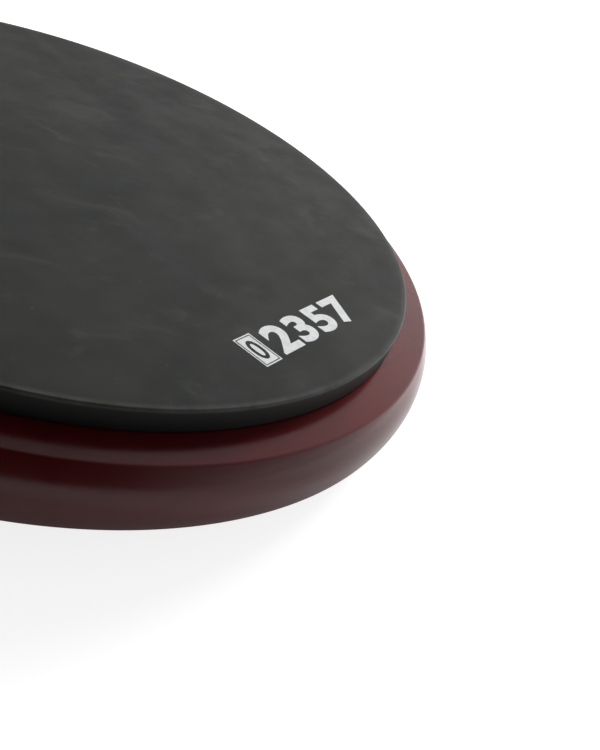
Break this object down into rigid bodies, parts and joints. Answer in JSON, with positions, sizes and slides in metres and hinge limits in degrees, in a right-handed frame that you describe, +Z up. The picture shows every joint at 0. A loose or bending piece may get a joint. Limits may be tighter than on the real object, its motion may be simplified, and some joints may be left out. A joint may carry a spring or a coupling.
{
  "type": "drum practice pad",
  "caption": "Round drum practice pad: a black rubber disc bonded to a wider, round-edged lacquered wooden base with rubber feet and a threaded stand mount underneath.",
  "frame": {"origin": "on the pad's axis, in the plane that the four feet stand on", "axes": "+Z up through the playing surface, -Y towards the player, +X to the player's right"},
  "size_m": [0.2286, 0.2286, 0.0282],
  "materials": {
    "burgundy_lacquer": "satin burgundy lacquer over turned board",
    "pad_rubber": "matt black rubber with a faint bloom",
    "glue": "contact adhesive film",
    "plated_steel": "bright zinc plate on pressed steel",
    "turned_steel": "zinc plate over turning marks",
    "screw_steel": "zinc plate",
    "foot_rubber": "moulded black rubber, fine matt"
  },
  "bodies": {
    "root": {"base_board": "burgundy_lacquer", "playing_pad": "pad_rubber", "pad_glue": "glue", "mounting_plate": "plated_steel", "threaded_bush": "turned_steel", "plate_screw_1": "screw_steel", "plate_screw_2": "screw_steel", "plate_screw_3": "screw_steel", "foot_1": "foot_rubber", "foot_washer_1": "screw_steel", "foot_screw_1": "screw_steel", "foot_2": "foot_rubber", "foot_washer_2": "screw_steel", "foot_screw_2": "screw_steel", "foot_3": "foot_rubber", "foot_washer_3": "screw_steel", "foot_screw_3": "screw_steel", "foot_4": "foot_rubber", "foot_washer_4": "screw_steel", "foot_screw_4": "screw_steel"}
  },
  "joints": []
}
